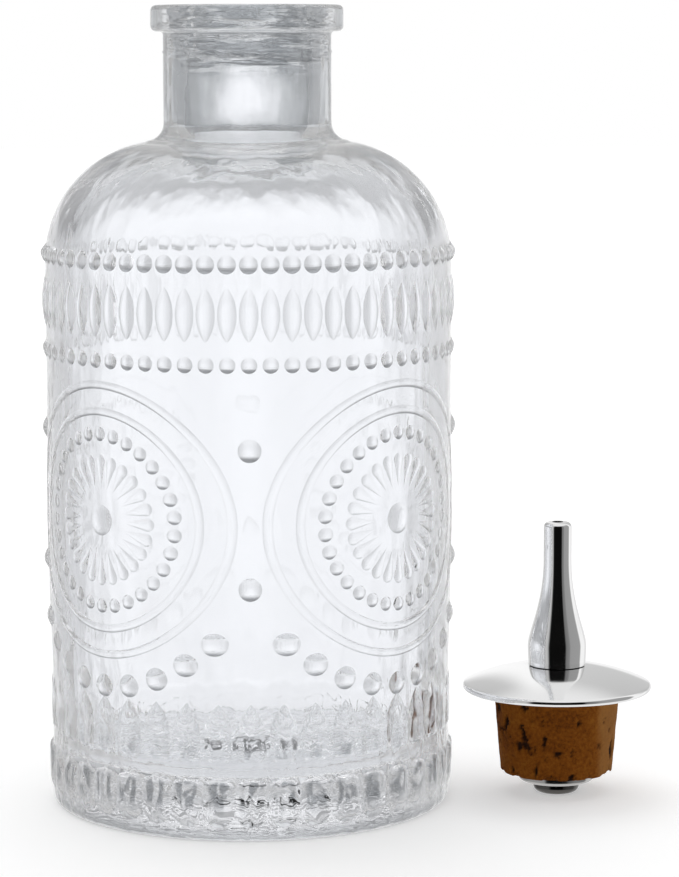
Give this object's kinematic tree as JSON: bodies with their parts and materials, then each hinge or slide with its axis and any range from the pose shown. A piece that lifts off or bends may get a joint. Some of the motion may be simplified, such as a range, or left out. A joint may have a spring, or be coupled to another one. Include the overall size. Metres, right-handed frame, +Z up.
{
  "type": "bitters bottle",
  "caption": "Pressed clear glass bitters bottle with medallion relief, and a dasher stopper of cork, domed metal flange and nozzle standing beside it.",
  "frame": {"origin": "centre of the bottle's base on the surface it stands on", "axes": "+Z up along the bottle's axis, +X towards the stopper that stands beside it, -Y towards the front"},
  "size_m": [0.0988, 0.0668, 0.128],
  "materials": {
    "glass": "clear pressed glass",
    "chrome": "polished chrome",
    "cork": "natural cork"
  },
  "bodies": {
    "bottle": {"glass_bottle": "glass"},
    "stopper": {"cork": "cork", "dome_flange": "chrome", "through_tube": "chrome", "clamp_washer": "chrome", "tube_nut": "chrome"},
    "nozzle": {"nozzle": "chrome"}
  },
  "joints": [
    {"name": "stopper_lift", "type": "slide", "parent": "bottle", "child": "stopper", "axis": [0, 0, 1], "range_m": [0, 0.14]},
    {"name": "nozzle_turn", "type": "hinge", "parent": "stopper", "child": "nozzle", "pos_m": [0.05, 0, 0.0285], "axis": [0, 0, 1], "range_deg": [0, 360]}
  ]
}
